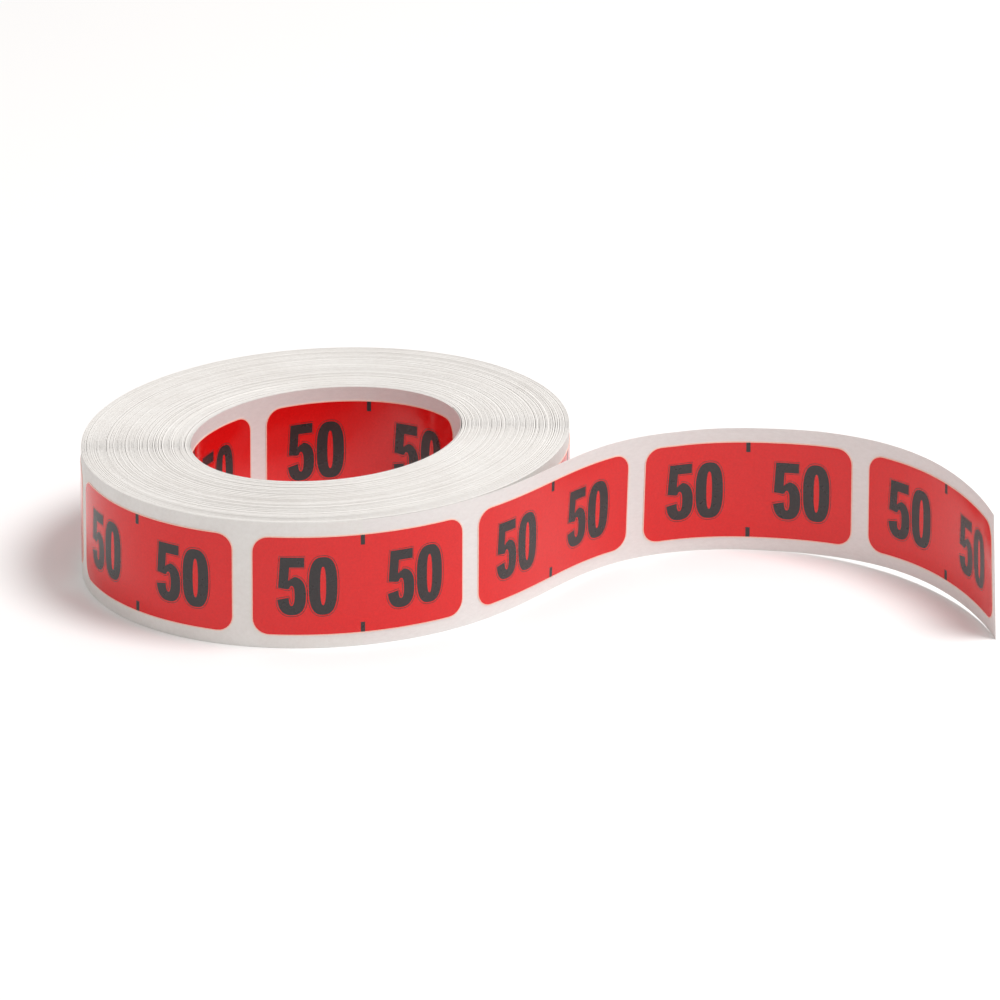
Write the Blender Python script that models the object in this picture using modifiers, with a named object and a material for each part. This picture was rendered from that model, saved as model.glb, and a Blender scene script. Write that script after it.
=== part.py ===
"""Roll of self-adhesive labels on a liner strip, lying flat, its outer end unrolled beside it.

Metres, +Z up. The roll lies on the plane z = 0 and the strip stands on edge, so its width is vertical.
The outermost turn winds up the roll's outside, leaves it at the front and runs out as a tail, whose
segments hinge where the bare liner between two labels bends. The plan is laid out in millimetres about
the roll's axis, and centre_base() at the end moves the origin to the centre of the part's base.
"""

import math

import bmesh
import bpy
import numpy as np
from mathutils import Vector

MM = 0.001

# The strip and its labels, in millimetres.
STRIP_WIDTH = 23.0
LABEL_LENGTH = 38.1
LABEL_HEIGHT = 18.2
LABEL_FOOT = 2.3
LABEL_GAP = 3.2
LABEL_CORNER = 3.0
LABEL_PITCH = LABEL_LENGTH + LABEL_GAP

# Thickness of every sheet, the air between two sheets, and the air between the ends of two sheets.
SHEET = 0.3
CLEARANCE = 0.3
LAYER = 2 * (SHEET + CLEARANCE)
END_GAP = 0.4

# The winding: the mean radius of its middle turn, how far that turn swells and shrinks as an oval, the
# direction in which the oval is longest, and the winding's thickness from bore to outside.
# Places on a turn are given by the direction it faces, counterclockwise from the roll's foremost point.
MIDDLE_RADIUS = 32.2
OVAL_SWELL = 2.5
OVAL_LONGEST = math.radians(-51.4)
WINDING = 19.2
FRONT_LABEL_START = -7.2
OUTER_LABELS = 6
INNER_TURN_START = math.radians(321.0)
INNER_LABELS = 3

# The tail leaves between two labels. TAIL_BENDS gives its curvature in 1/mm at distances along it.
TAIL_LEAVES = FRONT_LABEL_START + LABEL_LENGTH + LABEL_GAP / 2
TAIL_LABELS = 3
TAIL_END_MARGIN = 1.5
TAIL_BENDS = ((0.0, 0.02), (14.0, 0.0104), (38.0, -0.0325), (78.0, -0.0224), (126.0, -0.0161))

# Fineness of the curves.
PLAN_STEP = 0.25
SHEET_STEP = 2.5
RING_STEPS = 120
CORNER_STEPS = 4
FULL_TURN = 2 * math.pi

# How far outside the middle turn the middle of each liner runs, and a label's middle from its liner's.
OUTER_LINER = WINDING / 2 - SHEET - CLEARANCE - SHEET / 2
INNER_LINER = -OUTER_LINER
LABEL_OFFSET = SHEET + CLEARANCE

COLOURS = {
    "winding": ((0.83, 0.81, 0.78), 0.6),
    "liner": ((0.80, 0.77, 0.75), 0.45),
    "label": ((0.80, 0.04, 0.03), 0.35),
}


class Plan:
    """A strip's middle line seen from above: points and headings at distances along it."""

    def __init__(self, distances, xs, ys, headings):
        self.distances = distances
        self.xs = xs
        self.ys = ys
        self.headings = headings

    def point(self, distance, to_face=0.0):
        """The point at a distance, moved to_face towards the labels' side, on the right of travel."""
        heading = np.interp(distance, self.distances, self.headings)
        x = np.interp(distance, self.distances, self.xs) + to_face * math.sin(heading)
        y = np.interp(distance, self.distances, self.ys) - to_face * math.cos(heading)
        return x, y


def turn_at(angle, outside):
    """x, y and heading where the turn that runs outside the middle one faces an angle.

    reach is how far the turn's tangent line is from the roll's axis there, and slip how far along that
    line the turn touches it.
    """
    swell = 2 * (angle - OVAL_LONGEST)
    reach = MIDDLE_RADIUS + OVAL_SWELL * np.cos(swell) + outside
    slip = -2 * OVAL_SWELL * np.sin(swell)
    x = reach * np.sin(angle) + slip * np.cos(angle)
    y = -reach * np.cos(angle) + slip * np.sin(angle)
    return x, y, angle


def distances_along(xs, ys):
    return np.concatenate([[0.0], np.cumsum(np.hypot(np.diff(xs), np.diff(ys)))])


def tail_leaves_at():
    """The direction that the outermost turn faces where the tail leaves it."""
    angles = np.linspace(0.0, math.pi, 2000)
    xs, ys, _ = turn_at(angles, OUTER_LINER)
    return float(np.interp(TAIL_LEAVES, distances_along(xs, ys), angles))


def climbing(angle):
    """How far out the outermost turn's liner runs: it climbs by one layer up to where the tail leaves."""
    return OUTER_LINER - LAYER * (tail_leaves_at() - angle) / FULL_TURN


def outer_plan():
    """The outermost turn and the tail. The distance is 0 at the roll's foremost point."""
    leaves_at = tail_leaves_at()
    angles = np.linspace(leaves_at - FULL_TURN, leaves_at, 1200)
    xs, ys, headings = turn_at(angles, climbing(angles))
    distances = distances_along(xs, ys)
    distances += TAIL_LEAVES - distances[-1]

    tail_length = TAIL_LABELS * LABEL_PITCH - LABEL_GAP / 2 + TAIL_END_MARGIN
    along = np.arange(PLAN_STEP, tail_length + PLAN_STEP, PLAN_STEP)
    places, bends = zip(*TAIL_BENDS)
    turned = headings[-1] + np.cumsum(np.interp(along, places, bends)) * PLAN_STEP
    tail_xs = xs[-1] + np.cumsum(np.cos(turned)) * PLAN_STEP
    tail_ys = ys[-1] + np.cumsum(np.sin(turned)) * PLAN_STEP
    return Plan(
        np.concatenate([distances, TAIL_LEAVES + along]),
        np.concatenate([xs, tail_xs]),
        np.concatenate([ys, tail_ys]),
        np.concatenate([headings, turned]),
    )


def inner_plan():
    """The innermost turn, face inwards, from its cut end clockwise until it passes behind that end."""
    angles = np.linspace(INNER_TURN_START, INNER_TURN_START - FULL_TURN, 1200)
    xs, ys, headings = turn_at(angles, INNER_LINER)
    return Plan(distances_along(xs, ys), xs, ys, headings - math.pi)


def even_distances(start, end):
    return np.linspace(start, end, max(2, math.ceil((end - start) / SHEET_STEP) + 1))


def liner_columns(start, end):
    """(distance, low, high) of each vertical line across a plain stretch of liner."""
    return [(distance, 0.0, STRIP_WIDTH) for distance in even_distances(start, end)]


def label_columns(start, end, square_start=False, square_end=False):
    """The same for a label. Its corners are round, but square where the label is cut short."""
    low = LABEL_FOOT
    high = LABEL_FOOT + LABEL_HEIGHT
    turns = np.linspace(0.0, math.pi / 2, CORNER_STEPS + 1)
    corner = [
        (LABEL_CORNER * (1 - math.cos(turn)), LABEL_CORNER * (1 - math.sin(turn)))
        for turn in turns
    ]
    columns = []
    if not square_start:
        columns += [(start + run, low + rise, high - rise) for run, rise in corner[:-1]]
    flat_start = start if square_start else start + LABEL_CORNER
    flat_end = end if square_end else end - LABEL_CORNER
    columns += [(distance, low, high) for distance in even_distances(flat_start, flat_end)]
    if not square_end:
        columns += [(end - run, low + rise, high - rise) for run, rise in reversed(corner[:-1])]
    return columns


def material(kind, name):
    """A Principled material for one sub-part."""
    colour, roughness = COLOURS[kind]
    made = bpy.data.materials.new(name)
    made.use_nodes = True
    shader = made.node_tree.nodes["Principled BSDF"]
    shader.inputs["Base Color"].default_value = (*colour, 1.0)
    shader.inputs["Roughness"].default_value = roughness
    shader.inputs["Metallic"].default_value = 0.0
    made.diffuse_color = (*colour, 1.0)
    return made


def bent_sheet(name, kind, plan, columns, hinge, to_face=0.0):
    """A standing sheet swept along a plan: its first vertical edge is extruded from column to column.

    Its origin is its hinge, an empty on the joint's axis, or the roll's axis.
    """
    around = hinge.matrix_world.translation
    sheet = bmesh.new()

    def corners(column):
        distance, low, high = column
        x, y = plan.point(distance, to_face)
        return [Vector((x, y, z)) * MM - around for z in (low, high)]

    low, high = (sheet.verts.new(corner) for corner in corners(columns[0]))
    edge = sheet.edges.new((low, high))
    for column in columns[1:]:
        grown = bmesh.ops.extrude_edge_only(sheet, edges=[edge])["geom"]
        edge = next(item for item in grown if isinstance(item, bmesh.types.BMEdge))
        new = [item for item in grown if isinstance(item, bmesh.types.BMVert)]
        new.sort(key=lambda vertex: vertex.co.z)
        for vertex, corner in zip(new, corners(column)):
            vertex.co = corner
    mesh = bpy.data.meshes.new(name)
    sheet.to_mesh(mesh)
    sheet.free()
    mesh.shade_smooth()
    made = bpy.data.objects.new(name, mesh)
    thickness = made.modifiers.new("sheet thickness", "SOLIDIFY")
    thickness.thickness = SHEET * MM
    thickness.offset = 0.0
    return finish(made, kind, hinge)


def finish(made, kind, parent):
    """Puts a sub-part in the parts collection, on its hinge, with its material."""
    made.data.materials.append(material(kind, made.name))
    parts.objects.link(made)
    made.parent = parent
    return made


def ring_spline(curve, xs, ys):
    spline = curve.splines.new("POLY")
    spline.points.add(len(xs) - 1)
    for point, x, y in zip(spline.points, xs, ys):
        point.co = (x * MM, y * MM, 0.0, 1.0)
    spline.use_cyclic_u = True


def wound_turns(hinge):
    """The tight inner turns as one ring. Its outside climbs by a layer, with a step at the tail."""
    curve = bpy.data.curves.new("wound_turns", "CURVE")
    curve.dimensions = "2D"
    curve.fill_mode = "BOTH"
    curve.extrude = STRIP_WIDTH * MM / 2
    leaves_at = tail_leaves_at()
    angles = np.linspace(leaves_at - FULL_TURN, leaves_at, RING_STEPS)
    xs, ys, _ = turn_at(angles, climbing(angles) - SHEET / 2 - CLEARANCE)
    ring_spline(curve, xs, ys)
    xs, ys, _ = turn_at(angles[:-1], INNER_LINER + SHEET / 2 + CLEARANCE)
    ring_spline(curve, xs, ys)
    made = bpy.data.objects.new("wound_turns", curve)
    made.location.z = STRIP_WIDTH * MM / 2
    return finish(made, "winding", hinge)


def axis_empty(name, location, parent=None):
    """An empty on a joint's axis. Its world place is set before anything is hung on it."""
    made = bpy.data.objects.new(name, None)
    parts.objects.link(made)
    made.location = location
    if parent:
        made.parent = parent
        made.location = location - parent.matrix_world.translation
    bpy.context.view_layer.update()
    return made


def outer_turn(plan, roll):
    """The roll's outermost turn and the labels on it."""
    start = plan.distances[0] + END_GAP
    end = TAIL_LEAVES - END_GAP / 2
    bent_sheet("outer_turn_liner", "liner", plan, liner_columns(start, end), roll)
    for index in range(OUTER_LABELS):
        label_start = FRONT_LABEL_START - index * LABEL_PITCH
        columns = label_columns(label_start, label_start + LABEL_LENGTH)
        name = f"outer_label_{index + 1}"
        bent_sheet(name, "label", plan, columns, roll, LABEL_OFFSET)
    label_end = FRONT_LABEL_START - OUTER_LABELS * LABEL_PITCH + LABEL_LENGTH
    columns = label_columns(start, label_end, square_start=True)
    bent_sheet(f"outer_label_{OUTER_LABELS + 1}", "label", plan, columns, roll, LABEL_OFFSET)


def inner_turn(plan, roll):
    """The innermost turn, which lines the roll's hole with its labels facing in."""
    end = plan.distances[-1] - END_GAP
    bent_sheet("inner_turn_liner", "liner", plan, liner_columns(0.0, end), roll)
    for index in range(INNER_LABELS):
        label_start = LABEL_GAP / 2 + index * LABEL_PITCH
        columns = label_columns(label_start, label_start + LABEL_LENGTH)
        name = f"inner_label_{index + 1}"
        bent_sheet(name, "label", plan, columns, roll, LABEL_OFFSET)
    label_start = LABEL_GAP / 2 + INNER_LABELS * LABEL_PITCH
    columns = label_columns(label_start, end, square_end=True)
    bent_sheet(f"inner_label_{INNER_LABELS + 1}", "label", plan, columns, roll, LABEL_OFFSET)


def tail(plan, roll):
    """The unrolled end: one segment to a label, each hinged on the one before."""
    hinge = roll
    for index in range(TAIL_LABELS):
        start = TAIL_LEAVES + index * LABEL_PITCH
        end = start + LABEL_PITCH
        last = index == TAIL_LABELS - 1
        x, y = plan.point(start)
        hinge = axis_empty(f"tail_bend_{index + 1}", Vector((x, y, 0.0)) * MM, hinge)
        liner_end = end - LABEL_GAP / 2 + TAIL_END_MARGIN if last else end - END_GAP / 2
        columns = liner_columns(start + END_GAP / 2, liner_end)
        bent_sheet(f"tail_liner_{index + 1}", "liner", plan, columns, hinge)
        label_start = start + LABEL_GAP / 2
        columns = label_columns(label_start, label_start + LABEL_LENGTH)
        bent_sheet(f"tail_label_{index + 1}", "label", plan, columns, hinge, LABEL_OFFSET)


def centre_base(roll):
    """Moves everything, so that the origin is at the centre of the base of the part's box.

    The sheets reach furthest on every side, so the winding, a curve, needn't be measured.
    """
    bpy.context.view_layer.update()
    graph = bpy.context.evaluated_depsgraph_get()
    corners = [
        made.matrix_world @ Vector(corner)
        for made in parts.objects
        if made.type == "MESH"
        for corner in made.evaluated_get(graph).bound_box
    ]
    xs = [corner.x for corner in corners]
    ys = [corner.y for corner in corners]
    roll.location.x -= (min(xs) + max(xs)) / 2
    roll.location.y -= (min(ys) + max(ys)) / 2


for old in list(bpy.data.objects):
    bpy.data.objects.remove(old, do_unlink=True)

parts = bpy.data.collections.new("label_roll")
bpy.context.scene.collection.children.link(parts)

roll_axis = axis_empty("roll_axis", Vector((0.0, 0.0, 0.0)))
outer = outer_plan()
wound_turns(roll_axis)
outer_turn(outer, roll_axis)
inner_turn(inner_plan(), roll_axis)
tail(outer, roll_axis)
centre_base(roll_axis)
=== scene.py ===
"""The label roll's looks: a real thin strip wound into the roll, its printed labels, and the bent tail."""

import math

import bmesh
import bpy
import numpy as np
from mathutils import Matrix, Vector
from mathutils.geometry import tessellate_polygon


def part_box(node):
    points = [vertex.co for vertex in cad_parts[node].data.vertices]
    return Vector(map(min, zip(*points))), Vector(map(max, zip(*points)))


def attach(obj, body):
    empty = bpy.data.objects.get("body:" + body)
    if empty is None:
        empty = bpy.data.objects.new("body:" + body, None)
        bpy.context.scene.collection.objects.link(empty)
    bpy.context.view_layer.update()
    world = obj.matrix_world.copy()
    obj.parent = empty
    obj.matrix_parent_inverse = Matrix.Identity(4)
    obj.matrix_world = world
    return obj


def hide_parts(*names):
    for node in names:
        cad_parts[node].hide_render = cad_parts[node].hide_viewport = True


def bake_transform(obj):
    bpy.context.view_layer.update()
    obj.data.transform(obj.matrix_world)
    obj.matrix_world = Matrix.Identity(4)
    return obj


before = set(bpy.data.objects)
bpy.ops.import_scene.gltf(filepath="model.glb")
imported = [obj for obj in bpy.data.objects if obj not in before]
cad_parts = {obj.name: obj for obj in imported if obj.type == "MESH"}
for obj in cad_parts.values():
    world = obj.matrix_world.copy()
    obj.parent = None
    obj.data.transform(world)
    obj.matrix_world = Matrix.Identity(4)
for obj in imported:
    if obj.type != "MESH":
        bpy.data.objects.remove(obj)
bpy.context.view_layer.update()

MM = 0.001
FULL_TURN = 2 * math.pi

# The strip, its labels and the roll, in millimetres, as the CAD model has them. Only INNER_TURN_START
# differs: the innermost turn is thinner here and runs on a smaller circle, so it starts further round to
# bring its second label to the same place.
STRIP_WIDTH = 23.0
LABEL_LENGTH = 38.1
LABEL_HEIGHT = 18.2
LABEL_FOOT = 2.3
LABEL_HEAD = LABEL_FOOT + LABEL_HEIGHT
LABEL_GAP = 3.2
LABEL_CORNER = 3.0
LABEL_PITCH = LABEL_LENGTH + LABEL_GAP
MIDDLE_RADIUS = 32.2
OVAL_SWELL = 2.5
OVAL_LONGEST = math.radians(-51.4)
WINDING = 19.2
FRONT_LABEL_START = -7.2
OUTER_LABELS = 7
INNER_TURN_START = math.radians(326.9)
INNER_LABELS = 3
TAIL_LEAVES = FRONT_LABEL_START + LABEL_LENGTH + LABEL_GAP / 2
TAIL_LABELS = 3
TAIL_END_MARGIN = 1.5
TAIL_BENDS = ((0.0, 0.02), (14.0, 0.0104), (38.0, -0.0325), (78.0, -0.0224), (126.0, -0.0161))

# Real thicknesses. A turn is a liner, a label and a little air.
LINER = 0.06
LABEL = 0.08
FACE = 0.010
INK = 0.006
TURN = 0.19

# Inside the winding the liner is drawn thicker than it is, so that its cut edges look white.
WOUND_SHEET = 0.14
WOUND_LABEL = 0.05

# Bare label stock round the red face, a pale band that is partly painted highlight where the die-cut edge
# catches light, and how far short of the innermost turn's hidden end its liner and its last label stop.
EDGE_BORDER = 0.2
INNER_LINER_SHORT = 0.05
INNER_LABEL_SHORT = 0.1

# Fineness: millimetres between columns, columns along a label, and points on curves.
PLAN_STEP = 0.25
WOUND_STEP = 1.6
INNER_LINER_STEP = 1.0
INNER_LABEL_STEP = 0.6
TAIL_STRIP_STEP = 0.6
LABEL_COLUMNS = 60
CORNER_POINTS = 8
WOUND_TURN_POINTS = 240
INNER_TURN_POINTS = 1200
LEAVING_POINTS = 2000

OUTER_LINER = WINDING / 2 - LABEL - FACE - LINER / 2
INNER_LINER = -OUTER_LINER

# How far the tail's foot is off the floor along its far half.
LIFT = 0.9
LIFT_FROM = 62.0
LIFT_TO = 126.0

# How far the tail leans to its face, per height, at distances along it.
TAIL_LEANS = ((0.0, 0.0), (24.0, 0.03), (49.0, 0.06), (74.0, 0.0), (99.0, 0.01), (123.0, 0.035))

# Unevenness of the winding: how far turns stand up proud of each other and how far they sink inwards. The
# higher the power, the fewer turns that do.
PROUD = 0.07
PROUD_SEED = 11
PROUD_POWER = 1.5
UNEVEN = 0.10
UNEVEN_SEED = 5
UNEVEN_POWER = 3.0
EDGE_NOISE_PER_TURN = 3

# The tail comes down from the height of its turn over this length.
SETTLING = 20.0

bore_low, bore_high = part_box("inner_turn_liner")
ROLL_X = (bore_low[0] + bore_high[0]) / 2 / MM
ROLL_Y = (bore_low[1] + bore_high[1]) / 2 / MM


# ---------------------------------------------------------------- plan of the strip


class Plan:
    """A strip's middle line seen from above, with the rise of its foot and its lean to the face.

    All are values at distances along it.
    """

    def __init__(self, distances, xs, ys, headings, rises=None, leans=None):
        self.distances = distances
        self.xs = xs
        self.ys = ys
        self.headings = headings
        self.rises = np.zeros(len(xs)) if rises is None else rises
        self.leans = np.zeros(len(xs)) if leans is None else leans

    def points(self, distances, heights, to_face):
        """World points in metres, to_face towards the labels' side, which is on the right of travel."""
        headings = np.interp(distances, self.distances, self.headings)
        to_face = to_face + heights * np.interp(distances, self.distances, self.leans)
        xs = np.interp(distances, self.distances, self.xs) + to_face * np.sin(headings)
        ys = np.interp(distances, self.distances, self.ys) - to_face * np.cos(headings)
        zs = heights + np.interp(distances, self.distances, self.rises)
        return np.stack([xs + ROLL_X, ys + ROLL_Y, zs], axis=1) * MM


def turn_at(angle, outside):
    """x, y and heading where the turn that runs outside the middle one faces an angle.

    reach is how far the turn's tangent line is from the roll's axis there, and slip how far along that
    line the turn touches it.
    """
    swell = 2 * (angle - OVAL_LONGEST)
    reach = MIDDLE_RADIUS + OVAL_SWELL * np.cos(swell) + outside
    slip = -2 * OVAL_SWELL * np.sin(swell)
    x = reach * np.sin(angle) + slip * np.cos(angle)
    y = -reach * np.cos(angle) + slip * np.sin(angle)
    return x, y, angle


def distances_along(xs, ys):
    return np.concatenate([[0.0], np.cumsum(np.hypot(np.diff(xs), np.diff(ys)))])


def tail_leaves_at():
    """The direction that the outermost turn faces where the tail leaves it."""
    angles = np.linspace(0.0, math.pi, LEAVING_POINTS)
    xs, ys, _ = turn_at(angles, OUTER_LINER)
    return float(np.interp(TAIL_LEAVES, distances_along(xs, ys), angles))


def wander(angles, seed, most, power):
    """A slow random wander from turn to turn, from 0 to most, at each angle of the winding."""
    random = np.random.default_rng(seed)
    places = (angles - angles[0]) / FULL_TURN * EDGE_NOISE_PER_TURN
    values = random.random(int(places[-1]) + 4) ** power * most
    return np.interp(places, np.arange(len(values)), values)


def outer_plan():
    """The whole wound strip, from just outside the innermost turn out to the tail's end.

    The distance is 0 at the roll's foremost point and negative down into the winding.
    """
    leaves_at = tail_leaves_at()
    turns = (OUTER_LINER - INNER_LINER) / TURN - 1
    angles = np.linspace(leaves_at - turns * FULL_TURN, leaves_at, int(turns * WOUND_TURN_POINTS))
    below_outermost = np.clip((leaves_at - angles) / FULL_TURN - 1, 0.0, 1.0)
    slack = wander(angles, UNEVEN_SEED, UNEVEN, UNEVEN_POWER) * below_outermost
    xs, ys, headings = turn_at(angles, OUTER_LINER - TURN * (leaves_at - angles) / FULL_TURN - slack)
    distances = distances_along(xs, ys)
    distances += TAIL_LEAVES - distances[-1]

    tail_length = TAIL_LABELS * LABEL_PITCH - LABEL_GAP / 2 + TAIL_END_MARGIN
    along = np.arange(PLAN_STEP, tail_length + PLAN_STEP, PLAN_STEP)
    places, bends = zip(*TAIL_BENDS)
    turned = headings[-1] + np.cumsum(np.interp(along, places, bends)) * PLAN_STEP
    tail_xs = xs[-1] + np.cumsum(np.cos(turned)) * PLAN_STEP
    tail_ys = ys[-1] + np.cumsum(np.sin(turned)) * PLAN_STEP
    wound_rises = wander(angles, PROUD_SEED, PROUD, PROUD_POWER)
    lifted = np.clip((along - LIFT_FROM) / (LIFT_TO - LIFT_FROM), 0.0, 1.0)
    settled = wound_rises[-1] * np.clip(1 - along / SETTLING, 0.0, 1.0)
    tail_rises = settled + LIFT * np.sin(math.pi * lifted) ** 2
    leaning_at, leaning = zip(*TAIL_LEANS)
    tail_leans = np.interp(along, leaning_at, leaning)
    return Plan(
        np.concatenate([distances, TAIL_LEAVES + along]),
        np.concatenate([xs, tail_xs]),
        np.concatenate([ys, tail_ys]),
        np.concatenate([headings, turned]),
        np.concatenate([wound_rises, tail_rises]),
        np.concatenate([np.zeros(len(xs)), tail_leans]),
    )


def inner_plan():
    """The innermost turn, face inwards, from its cut end clockwise until it passes behind that end."""
    angles = np.linspace(INNER_TURN_START, INNER_TURN_START - FULL_TURN, INNER_TURN_POINTS)
    xs, ys, headings = turn_at(angles, INNER_LINER)
    return Plan(distances_along(xs, ys), xs, ys, headings - math.pi)


# ---------------------------------------------------------------- flat shapes, cut to bend


class Flat:
    """A flat shape in the strip's own plane, cut into columns so that it can follow a curve."""

    def __init__(self, outlines, cuts):
        """outlines holds one list for each shape: its outline and then its holes, as (along, up) points."""
        sheet = bmesh.new()
        for loops in outlines:
            loops = [[Vector((x, z, 0.0)) for x, z in loop] for loop in loops]
            corners = [sheet.verts.new(point) for loop in loops for point in loop]
            for a, b, c in tessellate_polygon(loops):
                sheet.faces.new((corners[a], corners[b], corners[c]))
        for cut in cuts:
            everything = sheet.verts[:] + sheet.edges[:] + sheet.faces[:]
            place = Vector((cut, 0.0, 0.0))
            bmesh.ops.bisect_plane(sheet, geom=everything, dist=1e-6, plane_co=place, plane_no=(1, 0, 0))
        bmesh.ops.dissolve_degenerate(sheet, dist=1e-6, edges=sheet.edges[:])
        for face in sheet.faces:
            if face.calc_area() and face.normal.z < 0:
                face.normal_flip()
        sheet.verts.index_update()
        self.corners = np.array([vertex.co[:2] for vertex in sheet.verts])
        self.faces = [[vertex.index for vertex in face.verts] for face in sheet.faces]
        self.rim = []
        for edge in sheet.edges:
            if len(edge.link_faces) == 1:
                loop = edge.link_loops[0]
                self.rim.append((loop.vert.index, loop.link_loop_next.vert.index))
        sheet.free()


class Build:
    """Collects thin closed layers into one mesh object."""

    def __init__(self):
        self.points = []
        self.faces = []
        self.slots = []
        self.count = 0

    def layer(self, flat, plan, start, inner, outer, slot):
        """A flat shape bent along the plan from a distance, filling inner to outer beyond the middle."""
        along = flat.corners[:, 0] + start
        up = flat.corners[:, 1]
        self.points += [plan.points(along, up, outer), plan.points(along, up, inner)]
        size = len(along)
        front = self.count
        back = self.count + size
        faces = [[front + i for i in face] for face in flat.faces]
        faces += [[back + i for i in reversed(face)] for face in flat.faces]
        faces += [[front + b, front + a, back + a, back + b] for a, b in flat.rim]
        self.faces += faces
        self.slots += [slot] * len(faces)
        self.count += 2 * size

    def wound(self, plan, edges, low, high, inner, outer):
        """A plain standing sheet through the columns at these distances, in the first material."""
        edges = np.asarray(edges)
        corners = [(low, inner), (low, outer), (high, outer), (high, inner)]
        for up, offset in corners:
            self.points.append(plan.points(edges, np.full(len(edges), up), offset))
        size = len(edges)
        first = self.count
        for i in range(size - 1):
            for side in range(4):
                a = first + side * size + i
                b = first + (side + 1) % 4 * size + i
                self.faces.append([a, a + 1, b + 1, b])
        self.faces.append([first + side * size for side in range(4)])
        self.faces.append([first + (3 - side) * size + size - 1 for side in range(4)])
        self.slots += [0] * (4 * (size - 1) + 2)
        self.count += 4 * size

    def object(self, name, materials, body, slot, replaced=()):
        """The finished piece. It rides on the body, unless that is None, when it is left without a parent.
        """
        mesh = bpy.data.meshes.new(name)
        mesh.from_pydata(np.concatenate(self.points), [], self.faces)
        for made in materials:
            mesh.materials.append(made)
        mesh.polygons.foreach_set("material_index", self.slots)
        mesh.update()
        tidy = bmesh.new()
        tidy.from_mesh(mesh)
        bmesh.ops.recalc_face_normals(tidy, faces=tidy.faces[:])
        tidy.to_mesh(mesh)
        tidy.free()
        mesh.shade_smooth()
        mesh.set_sharp_from_angle(angle=math.radians(30))
        made = bpy.data.objects.new(name, mesh)
        bpy.context.scene.collection.objects.link(made)
        if body:
            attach(made, body)
        if replaced:
            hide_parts(*replaced)
        return made


def arc(centre_x, centre_z, half_width, half_height, start, end, steps, power=2.0):
    """Points of a superellipse from one angle to another, in degrees counterclockwise from +x."""
    points = []
    for angle in np.radians(np.linspace(start, end, steps)):
        c = math.cos(angle)
        s = math.sin(angle)
        x = centre_x + half_width * math.copysign(abs(c) ** (2 / power), c)
        z = centre_z + half_height * math.copysign(abs(s) ** (2 / power), s)
        points.append((x, z))
    return points


def rounded_box(x0, z0, x1, z1, radius):
    corners = ((x1, z1, 0), (x0, z1, 90), (x0, z0, 180), (x1, z0, 270))
    points = []
    for x, z, start in corners:
        cx = x - radius if x == x1 else x + radius
        cz = z - radius if z == z1 else z + radius
        points += arc(cx, cz, radius, radius, start, start + 90, CORNER_POINTS)
    return points


# ---------------------------------------------------------------- the print

# The digits' own outlines, in millimetres from the lower left corner of each.
DIGIT_WIDTH = 4.9
DIGIT_HEIGHT = 10.6
DIGIT_GAP = 0.45
STROKE = 1.95
CONTOUR_AWAY = 0.22
CONTOUR_WIDTH = 0.10
TICK_WIDTH = 0.75
TICK_HEIGHT = 1.8


def digit_zero():
    """A tall ring with flattened sides."""
    half_width = DIGIT_WIDTH / 2
    half_height = DIGIT_HEIGHT / 2
    outside = arc(half_width, half_height, half_width, half_height, 0, 352, 45, 2.7)
    inside = arc(half_width, half_height, half_width - STROKE, half_height - 1.75, 0, 345, 24, 2.4)
    return [outside, inside]


def digit_five():
    """A top bar, a short stem and a bowl that is open on the left."""
    middle = DIGIT_WIDTH / 2
    bowl = 3.55
    outside = arc(middle, bowl, middle, bowl, 118, -172, 34, 2.5)
    inside = arc(middle, bowl, middle - STROKE, bowl - 1.7, -172, 138, 22, 2.3)
    under = DIGIT_HEIGHT - 1.85
    bar = [(0.5, DIGIT_HEIGHT), (4.6, DIGIT_HEIGHT), (4.6, under), (2.05, under)]
    stem = [(1.9, 6.35)]
    heel = [(1.75, 4.75), (0.15, 5.0)]
    return [bar + stem + outside[4:] + inside + heel]


def grown(loop, amount):
    """A closed outline moved outwards by an amount."""
    points = np.array(loop)
    after = np.roll(points, -1, axis=0)
    before = np.roll(points, 1, axis=0)
    along = after - before
    normals = np.stack([along[:, 1], -along[:, 0]], axis=1)
    normals /= np.linalg.norm(normals, axis=1)[:, None] + 1e-9
    area = np.sum(points[:, 0] * after[:, 1] - after[:, 0] * points[:, 1])
    if area < 0:
        normals = -normals
    return [tuple(point) for point in points + normals * amount]


def moved(loops, right, up):
    return [[(x + right, z + up) for x, z in loop] for loop in loops]


def contour(loops):
    """A thin line round a digit, a little way outside it."""
    around = grown(loops[0], CONTOUR_AWAY + CONTOUR_WIDTH)
    return [around, grown(loops[0], CONTOUR_AWAY)]


def label_print():
    """Outlines of everything printed on a label: two numerals and a tick at the middle of each edge."""
    shapes = []
    pair_width = 2 * DIGIT_WIDTH + DIGIT_GAP
    up = LABEL_FOOT + (LABEL_HEIGHT - DIGIT_HEIGHT) / 2
    for centre in (LABEL_LENGTH / 4, LABEL_LENGTH * 3 / 4):
        left = centre - pair_width / 2
        for digit, right in ((digit_five(), left), (digit_zero(), left + DIGIT_WIDTH + DIGIT_GAP)):
            shapes.append(moved(digit, right, up))
            shapes.append(moved(contour(digit), right, up))
    left = LABEL_LENGTH / 2 - TICK_WIDTH / 2
    right = LABEL_LENGTH / 2 + TICK_WIDTH / 2
    foot = LABEL_FOOT + EDGE_BORDER
    head = LABEL_HEAD - EDGE_BORDER
    for base, top in ((foot, foot + TICK_HEIGHT), (head - TICK_HEIGHT, head)):
        shapes.append([[(left, base), (right, base), (right, top), (left, top)]])
    return shapes


def label_outline(border):
    """A label's rounded outline, drawn in from its die cut by a border."""
    foot = LABEL_FOOT + border
    head = LABEL_HEAD - border
    return rounded_box(border, foot, LABEL_LENGTH - border, head, LABEL_CORNER - border)


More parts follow.
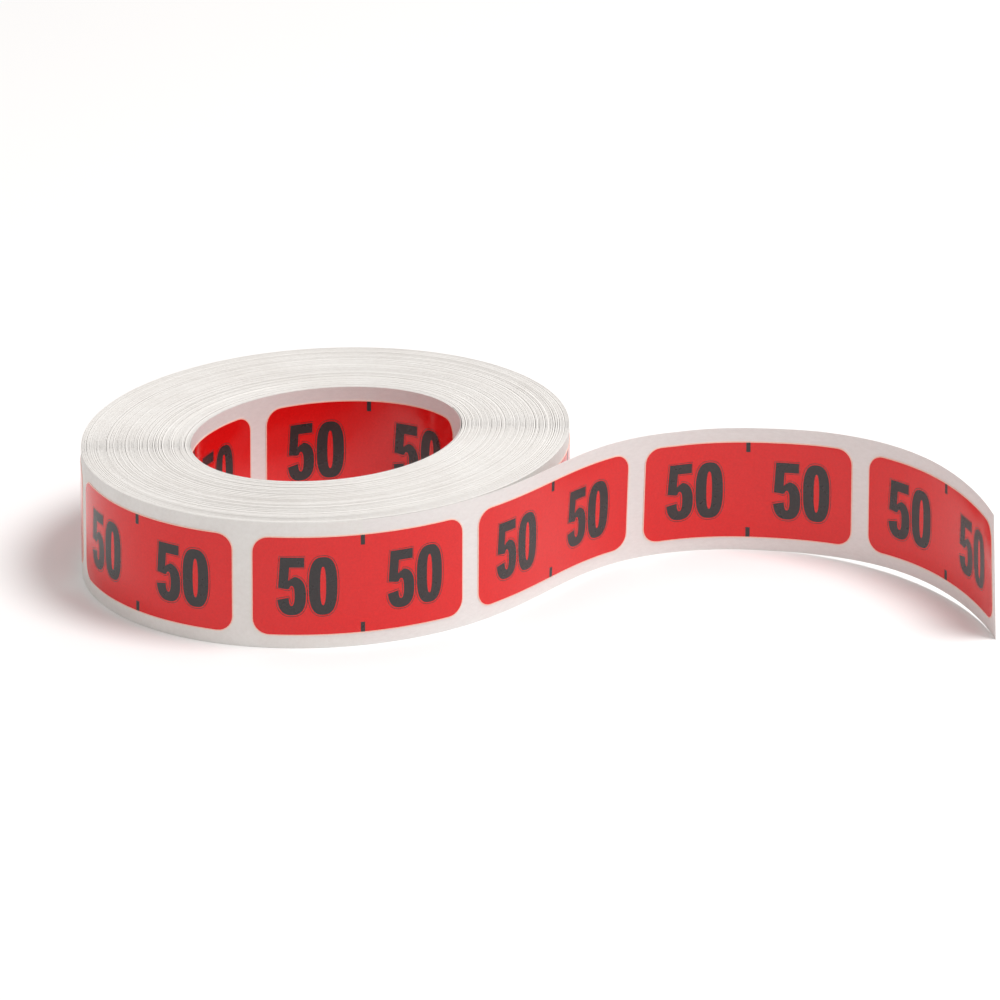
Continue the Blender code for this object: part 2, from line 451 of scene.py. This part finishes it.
CUTS = [LABEL_LENGTH * i / LABEL_COLUMNS for i in range(1, LABEL_COLUMNS)]
label_base = Flat([[label_outline(0.0)]], CUTS)
label_face = Flat([[label_outline(EDGE_BORDER)]], CUTS)
label_ink = Flat(label_print(), CUTS)


# ---------------------------------------------------------------- materials


def shader_of(name):
    """A new material with its nodes, its links and its Principled shader."""
    made = bpy.data.materials.new(name)
    made.use_nodes = True
    return made, made.node_tree.nodes, made.node_tree.links, made.node_tree.nodes["Principled BSDF"]


def noise(nodes, links, scale, detail, roughness=0.55, stretch=(1.0, 1.0, 1.0)):
    """A noise texture over the piece's own coordinates, scale in cycles per metre."""
    place = nodes.new("ShaderNodeTexCoord")
    mapping = nodes.new("ShaderNodeMapping")
    mapping.inputs["Scale"].default_value = stretch
    links.new(place.outputs["Object"], mapping.inputs["Vector"])
    texture = nodes.new("ShaderNodeTexNoise")
    texture.inputs["Scale"].default_value = scale
    texture.inputs["Detail"].default_value = detail
    texture.inputs["Roughness"].default_value = roughness
    links.new(mapping.outputs["Vector"], texture.inputs["Vector"])
    return texture.outputs["Fac"]


def ramp(nodes, links, factor, stops):
    """A colour that follows a factor through (position, colour) stops."""
    made = nodes.new("ShaderNodeValToRGB")
    elements = made.color_ramp.elements
    while len(elements) < len(stops):
        elements.new(0.5)
    for element, (position, colour) in zip(elements, stops):
        element.position = position
        element.color = (*colour, 1.0)
    links.new(factor, made.inputs["Fac"])
    return made.outputs["Color"]


def scaled(nodes, links, factor, low_value, high_value, low_in=0.3, high_in=0.7):
    """A factor spread from low_value to high_value. Noise keeps to the middle of its range."""
    made = nodes.new("ShaderNodeMapRange")
    made.inputs["From Min"].default_value = low_in
    made.inputs["From Max"].default_value = high_in
    made.inputs["To Min"].default_value = low_value
    made.inputs["To Max"].default_value = high_value
    links.new(factor, made.inputs["Value"])
    return made.outputs["Result"]


def bump(nodes, links, shader, height, distance, strength):
    made = nodes.new("ShaderNodeBump")
    made.inputs["Distance"].default_value = distance
    made.inputs["Strength"].default_value = strength
    links.new(height, made.inputs["Height"])
    links.new(made.outputs["Normal"], shader.inputs["Normal"])


def smeared(nodes, links, shader, low_value, high_value):
    """Gloss that varies in soft smears, as on a handled label."""
    smear = noise(nodes, links, 240.0, 4.0, 0.6)
    links.new(scaled(nodes, links, smear, low_value, high_value), shader.inputs["Roughness"])


def rippled(nodes, links, shader, scale, distance, strength):
    """Slow waves in the surface, as where a label lies on bent paper."""
    wave = noise(nodes, links, scale, 3.0, 0.5)
    bump(nodes, links, shader, wave, distance, strength)


def liner_paper():
    """The liner's smooth faces: white paper with fibres and a faint gloss."""
    made, nodes, links, shader = shader_of("liner paper")
    fibres = noise(nodes, links, 900.0, 6.0, 0.65, (1.0, 1.0, 2.2))
    colour = ramp(nodes, links, fibres, ((0.3, (0.80, 0.765, 0.75)), (0.7, (0.86, 0.83, 0.815))))
    links.new(colour, shader.inputs["Base Color"])
    cloud = noise(nodes, links, 160.0, 3.0)
    links.new(scaled(nodes, links, cloud, 0.34, 0.46), shader.inputs["Roughness"])
    shader.inputs["Specular IOR Level"].default_value = 0.4
    bump(nodes, links, shader, fibres, 0.00002, 0.5)
    return made


def wound_edges():
    """The cut edges of the liner, rougher than its faces and less pink."""
    made, nodes, links, shader = shader_of("liner edges")
    grain = noise(nodes, links, 1400.0, 5.0, 0.6)
    patches = noise(nodes, links, 110.0, 4.0, 0.6)
    mix = nodes.new("ShaderNodeMix")
    mix.inputs["Factor"].default_value = 0.5
    links.new(grain, mix.inputs["A"])
    links.new(patches, mix.inputs["B"])
    stops = ((0.35, (0.80, 0.775, 0.745)), (0.65, (0.87, 0.855, 0.83)))
    colour = ramp(nodes, links, mix.outputs["Result"], stops)
    links.new(colour, shader.inputs["Base Color"])
    shader.inputs["Roughness"].default_value = 0.65
    shader.inputs["Specular IOR Level"].default_value = 0.3
    return made


def red_face():
    """The label's glossy red face."""
    made, nodes, links, shader = shader_of("red label face")
    mottle = noise(nodes, links, 2600.0, 5.0, 0.7)
    colour = ramp(nodes, links, mottle, ((0.32, (0.71, 0.0045, 0.0050)), (0.68, (0.82, 0.0080, 0.0080))))
    links.new(colour, shader.inputs["Base Color"])
    smeared(nodes, links, shader, 0.10, 0.17)
    rippled(nodes, links, shader, 60.0, 0.00025, 0.4)
    return made


def label_edge_and_highlight():
    """The label's own pale stock, seen as a line round the red face; the line's brightness is partly
    painted highlight, where the die-cut edge catches light.
    """
    made, nodes, links, shader = shader_of("label die cut edge and painted highlight")
    grain = noise(nodes, links, 3000.0, 3.0)
    # Pale pink: the stock's own pale colour, brightened as painted highlight where the die-cut edge catches
    # light.
    colour = ramp(nodes, links, grain, ((0.3, (0.93, 0.55, 0.45)), (0.7, (0.97, 0.68, 0.58))))
    links.new(colour, shader.inputs["Base Color"])
    shader.inputs["Roughness"].default_value = 0.5
    return made


def printed_ink():
    """The dark grey print, duller than the red under it."""
    made, nodes, links, shader = shader_of("printed grey ink")
    speckle = noise(nodes, links, 2200.0, 5.0, 0.7)
    colour = ramp(nodes, links, speckle, ((0.3, (0.020, 0.016, 0.017)), (0.7, (0.034, 0.027, 0.028))))
    links.new(colour, shader.inputs["Base Color"])
    smeared(nodes, links, shader, 0.24, 0.34)
    rippled(nodes, links, shader, 70.0, 0.00012, 0.35)
    return made


def shaded_wound_label():
    """The edges of the labels inside the winding, down between the liner's turns. Their dark red-brown is
    the labels' red, darkened with painted shade for the narrow slots they sit in.
    """
    made, nodes, links, shader = shader_of("wound label edges with painted shade")
    grain = noise(nodes, links, 700.0, 4.0, 0.7)
    # Painted shade: the labels' red darkened to red-brown for the deep slots between the turns.
    colour = ramp(nodes, links, grain, ((0.35, (0.10, 0.020, 0.012)), (0.65, (0.30, 0.045, 0.030))))
    links.new(colour, shader.inputs["Base Color"])
    shader.inputs["Roughness"].default_value = 0.7
    return made


LINER_PAPER = liner_paper()
LINER_EDGES = wound_edges()
LABEL_MATERIALS = [label_edge_and_highlight(), red_face(), printed_ink()]
SHADED_WOUND_LABELS = shaded_wound_label()


# ---------------------------------------------------------------- pieces


def printed_label(name, plan, start, body, replaced):
    """A die-cut label on the strip: its stock, whose pale band round the face is partly painted highlight,
    its red face and the print.
    """
    build = Build()
    stock = LINER / 2
    face = stock + LABEL
    ink = face + FACE
    build.layer(label_base, plan, start, stock, face, 0)
    build.layer(label_face, plan, start, face, ink, 1)
    build.layer(label_ink, plan, start, ink, ink + INK, 2)
    build.object(name, LABEL_MATERIALS, body, "label_stock", (replaced,))


def edges_between(start, end, step):
    return np.linspace(start, end, max(2, math.ceil((end - start) / step) + 1))


def winding_liner(plan):
    """The wound strip, out to the middle of the front label, where the tail's first strip takes over."""
    build = Build()
    columns = edges_between(plan.distances[0], FRONT_LABEL_START + LABEL_LENGTH / 2, WOUND_STEP)
    build.wound(plan, columns, 0.0, STRIP_WIDTH, LINER / 2 - WOUND_SHEET, LINER / 2)
    build.object("winding_liner", [LINER_EDGES], "roll", "wound_paper", ("wound_turns", "outer_turn_liner"))


def winding_labels(plan):
    """The labels inside the winding, on all turns below those of the outer labels."""
    build = Build()
    start = FRONT_LABEL_START - OUTER_LABELS * LABEL_PITCH
    while start > plan.distances[0]:
        columns = edges_between(start, start + LABEL_LENGTH, WOUND_STEP)
        build.wound(plan, columns, LABEL_FOOT, LABEL_HEAD, LINER / 2, LINER / 2 + WOUND_LABEL)
        start -= LABEL_PITCH
    build.object("winding_labels", [SHADED_WOUND_LABELS], "roll", "label_stock")


def inner_turn_strip(plan):
    """The innermost turn's liner, which lines the bore."""
    build = Build()
    columns = edges_between(0.0, plan.distances[-1] - INNER_LINER_SHORT, INNER_LINER_STEP)
    build.wound(plan, columns, 0.0, STRIP_WIDTH, -LINER / 2, LINER / 2)
    build.object("inner_turn_strip", [LINER_PAPER], "roll", "liner_paper", ("inner_turn_liner",))


def outer_labels(plan):
    for index in range(OUTER_LABELS):
        start = FRONT_LABEL_START - index * LABEL_PITCH
        printed_label(f"printed_outer_label_{index + 1}", plan, start, "roll", f"outer_label_{index + 1}")


def inner_labels(plan):
    """The whole labels on the innermost turn, then the one that its end cuts short."""
    for index in range(INNER_LABELS):
        start = LABEL_GAP / 2 + index * LABEL_PITCH
        printed_label(f"printed_inner_label_{index + 1}", plan, start, "roll", f"inner_label_{index + 1}")
    build = Build()
    start = LABEL_GAP / 2 + INNER_LABELS * LABEL_PITCH
    columns = edges_between(start, plan.distances[-1] - INNER_LABEL_SHORT, INNER_LABEL_STEP)
    build.wound(plan, columns, LABEL_FOOT, LABEL_HEAD, LINER / 2, LINER / 2 + LABEL)
    name = f"printed_inner_label_{INNER_LABELS + 1}"
    replaced = f"inner_label_{INNER_LABELS + 1}"
    build.object(name, [LABEL_MATERIALS[1]], "roll", "label_stock", (replaced,))


def strip_flat(length, columns):
    outline = [(0.0, 0.0), (length, 0.0), (length, STRIP_WIDTH), (0.0, STRIP_WIDTH)]
    return Flat([[outline]], [length * i / columns for i in range(1, columns)])


def tail_segment(plan, index, body):
    """A label of the tail, and its strip from the middle of the label before, both bent along the tail's
    curve.
    """
    start = FRONT_LABEL_START + (index + 1) * LABEL_PITCH
    printed_label(f"printed_tail_label_{index + 1}", plan, start, body, f"tail_label_{index + 1}")
    strip_start = start - LABEL_PITCH + LABEL_LENGTH / 2
    last = index == TAIL_LABELS - 1
    strip_end = start + LABEL_LENGTH + TAIL_END_MARGIN if last else start + LABEL_LENGTH / 2
    length = strip_end - strip_start
    build = Build()
    flat = strip_flat(length, int(length / TAIL_STRIP_STEP))
    build.layer(flat, plan, strip_start, -LINER / 2, LINER / 2, 0)
    name = f"tail_strip_{index + 1}"
    made = build.object(name, [LINER_PAPER], None, "liner_paper", (f"tail_liner_{index + 1}",))
    gap = plan.points(np.array([start - LABEL_GAP, start]), np.zeros(2), 0.0)
    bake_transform(made)


outer = outer_plan()
inner = inner_plan()
winding_liner(outer)
winding_labels(outer)
inner_turn_strip(inner)
outer_labels(outer)
inner_labels(inner)
bodies = ["roll"] + [f"tail_segment_{index + 1}" for index in range(TAIL_LABELS)]
for index in range(TAIL_LABELS):
    tail_segment(outer, index, bodies[index + 1])


# ---------------------------------------------------------------- stage, light and camera


FLOOR_SIZE = 6.0
FLOOR_COLOUR = (0.93, 0.93, 0.93, 1.0)


def floor():
    bpy.ops.mesh.primitive_plane_add(size=FLOOR_SIZE, location=(0, 0, 0))
    made = bpy.context.object
    made.name = "floor"
    paint, _, _, shader = shader_of("floor")
    shader.inputs["Base Color"].default_value = FLOOR_COLOUR
    shader.inputs["Roughness"].default_value = 0.9
    shader.inputs["Specular IOR Level"].default_value = 0.0
    made.data.materials.append(paint)


# A warm white sky, brighter overhead than at the horizon, and one soft key light above and to the right.
SKY_COLOUR = (1.0, 0.965, 0.945, 1.0)
SKY_LOW = 0.23
SKY_HIGH = 0.80
KEY_PLACE = (0.44, -0.12, 1.0)
KEY_AIM = (0.0, 0.0, 0.0)
KEY_SIZE = 0.5
KEY_POWER = 8.3


def sky():
    world = bpy.data.worlds.new("studio")
    bpy.context.scene.world = world
    world.use_nodes = True
    nodes = world.node_tree.nodes
    links = world.node_tree.links
    background = nodes["Background"]
    background.inputs["Color"].default_value = SKY_COLOUR
    direction = nodes.new("ShaderNodeTexCoord")
    parts = nodes.new("ShaderNodeSeparateXYZ")
    links.new(direction.outputs["Generated"], parts.inputs["Vector"])
    strength = scaled(nodes, links, parts.outputs["Z"], SKY_LOW, SKY_HIGH, 0.0, 1.0)
    links.new(strength, background.inputs["Strength"])


def key_light():
    lamp = bpy.data.lights.new("key", "AREA")
    lamp.shape = "DISK"
    lamp.size = KEY_SIZE
    lamp.energy = KEY_POWER
    made = bpy.data.objects.new("key", lamp)
    bpy.context.scene.collection.objects.link(made)
    made.location = KEY_PLACE
    made.rotation_euler = (Vector(KEY_AIM) - Vector(KEY_PLACE)).to_track_quat("-Z", "Y").to_euler()


# A long lens in millimetres for its sensor, and the camera's place in millimetres from the roll's axis at
# floor level.
CAMERA_LENS = 402.12
SENSOR = 36.0
CAMERA_PITCH = math.radians(22.03)
CAMERA_ROLL = math.radians(0.22)
CAMERA_PLACE = (30.09, -1793.4, 736.4)
NEAREST_SEEN = 0.01


def camera():
    right = Vector((1.0, 0.0, 0.0))
    forward = Vector((0.0, math.cos(CAMERA_PITCH), -math.sin(CAMERA_PITCH)))
    up = Vector((0.0, math.sin(CAMERA_PITCH), math.cos(CAMERA_PITCH)))
    x_axis = math.cos(CAMERA_ROLL) * right + math.sin(CAMERA_ROLL) * up
    y_axis = -math.sin(CAMERA_ROLL) * right + math.cos(CAMERA_ROLL) * up
    lens = bpy.data.cameras.new("camera")
    lens.sensor_width = SENSOR
    lens.lens = CAMERA_LENS
    lens.clip_start = NEAREST_SEEN
    made = bpy.data.objects.new("camera", lens)
    bpy.context.scene.collection.objects.link(made)
    turn = Matrix((x_axis, y_axis, -forward)).transposed().to_4x4()
    x, y, z = CAMERA_PLACE
    made.matrix_world = Matrix.Translation(Vector((x + ROLL_X, y + ROLL_Y, z)) * MM) @ turn
    bpy.context.scene.camera = made


bpy.context.scene.view_settings.view_transform = "Standard"
floor()
sky()
key_light()
camera()
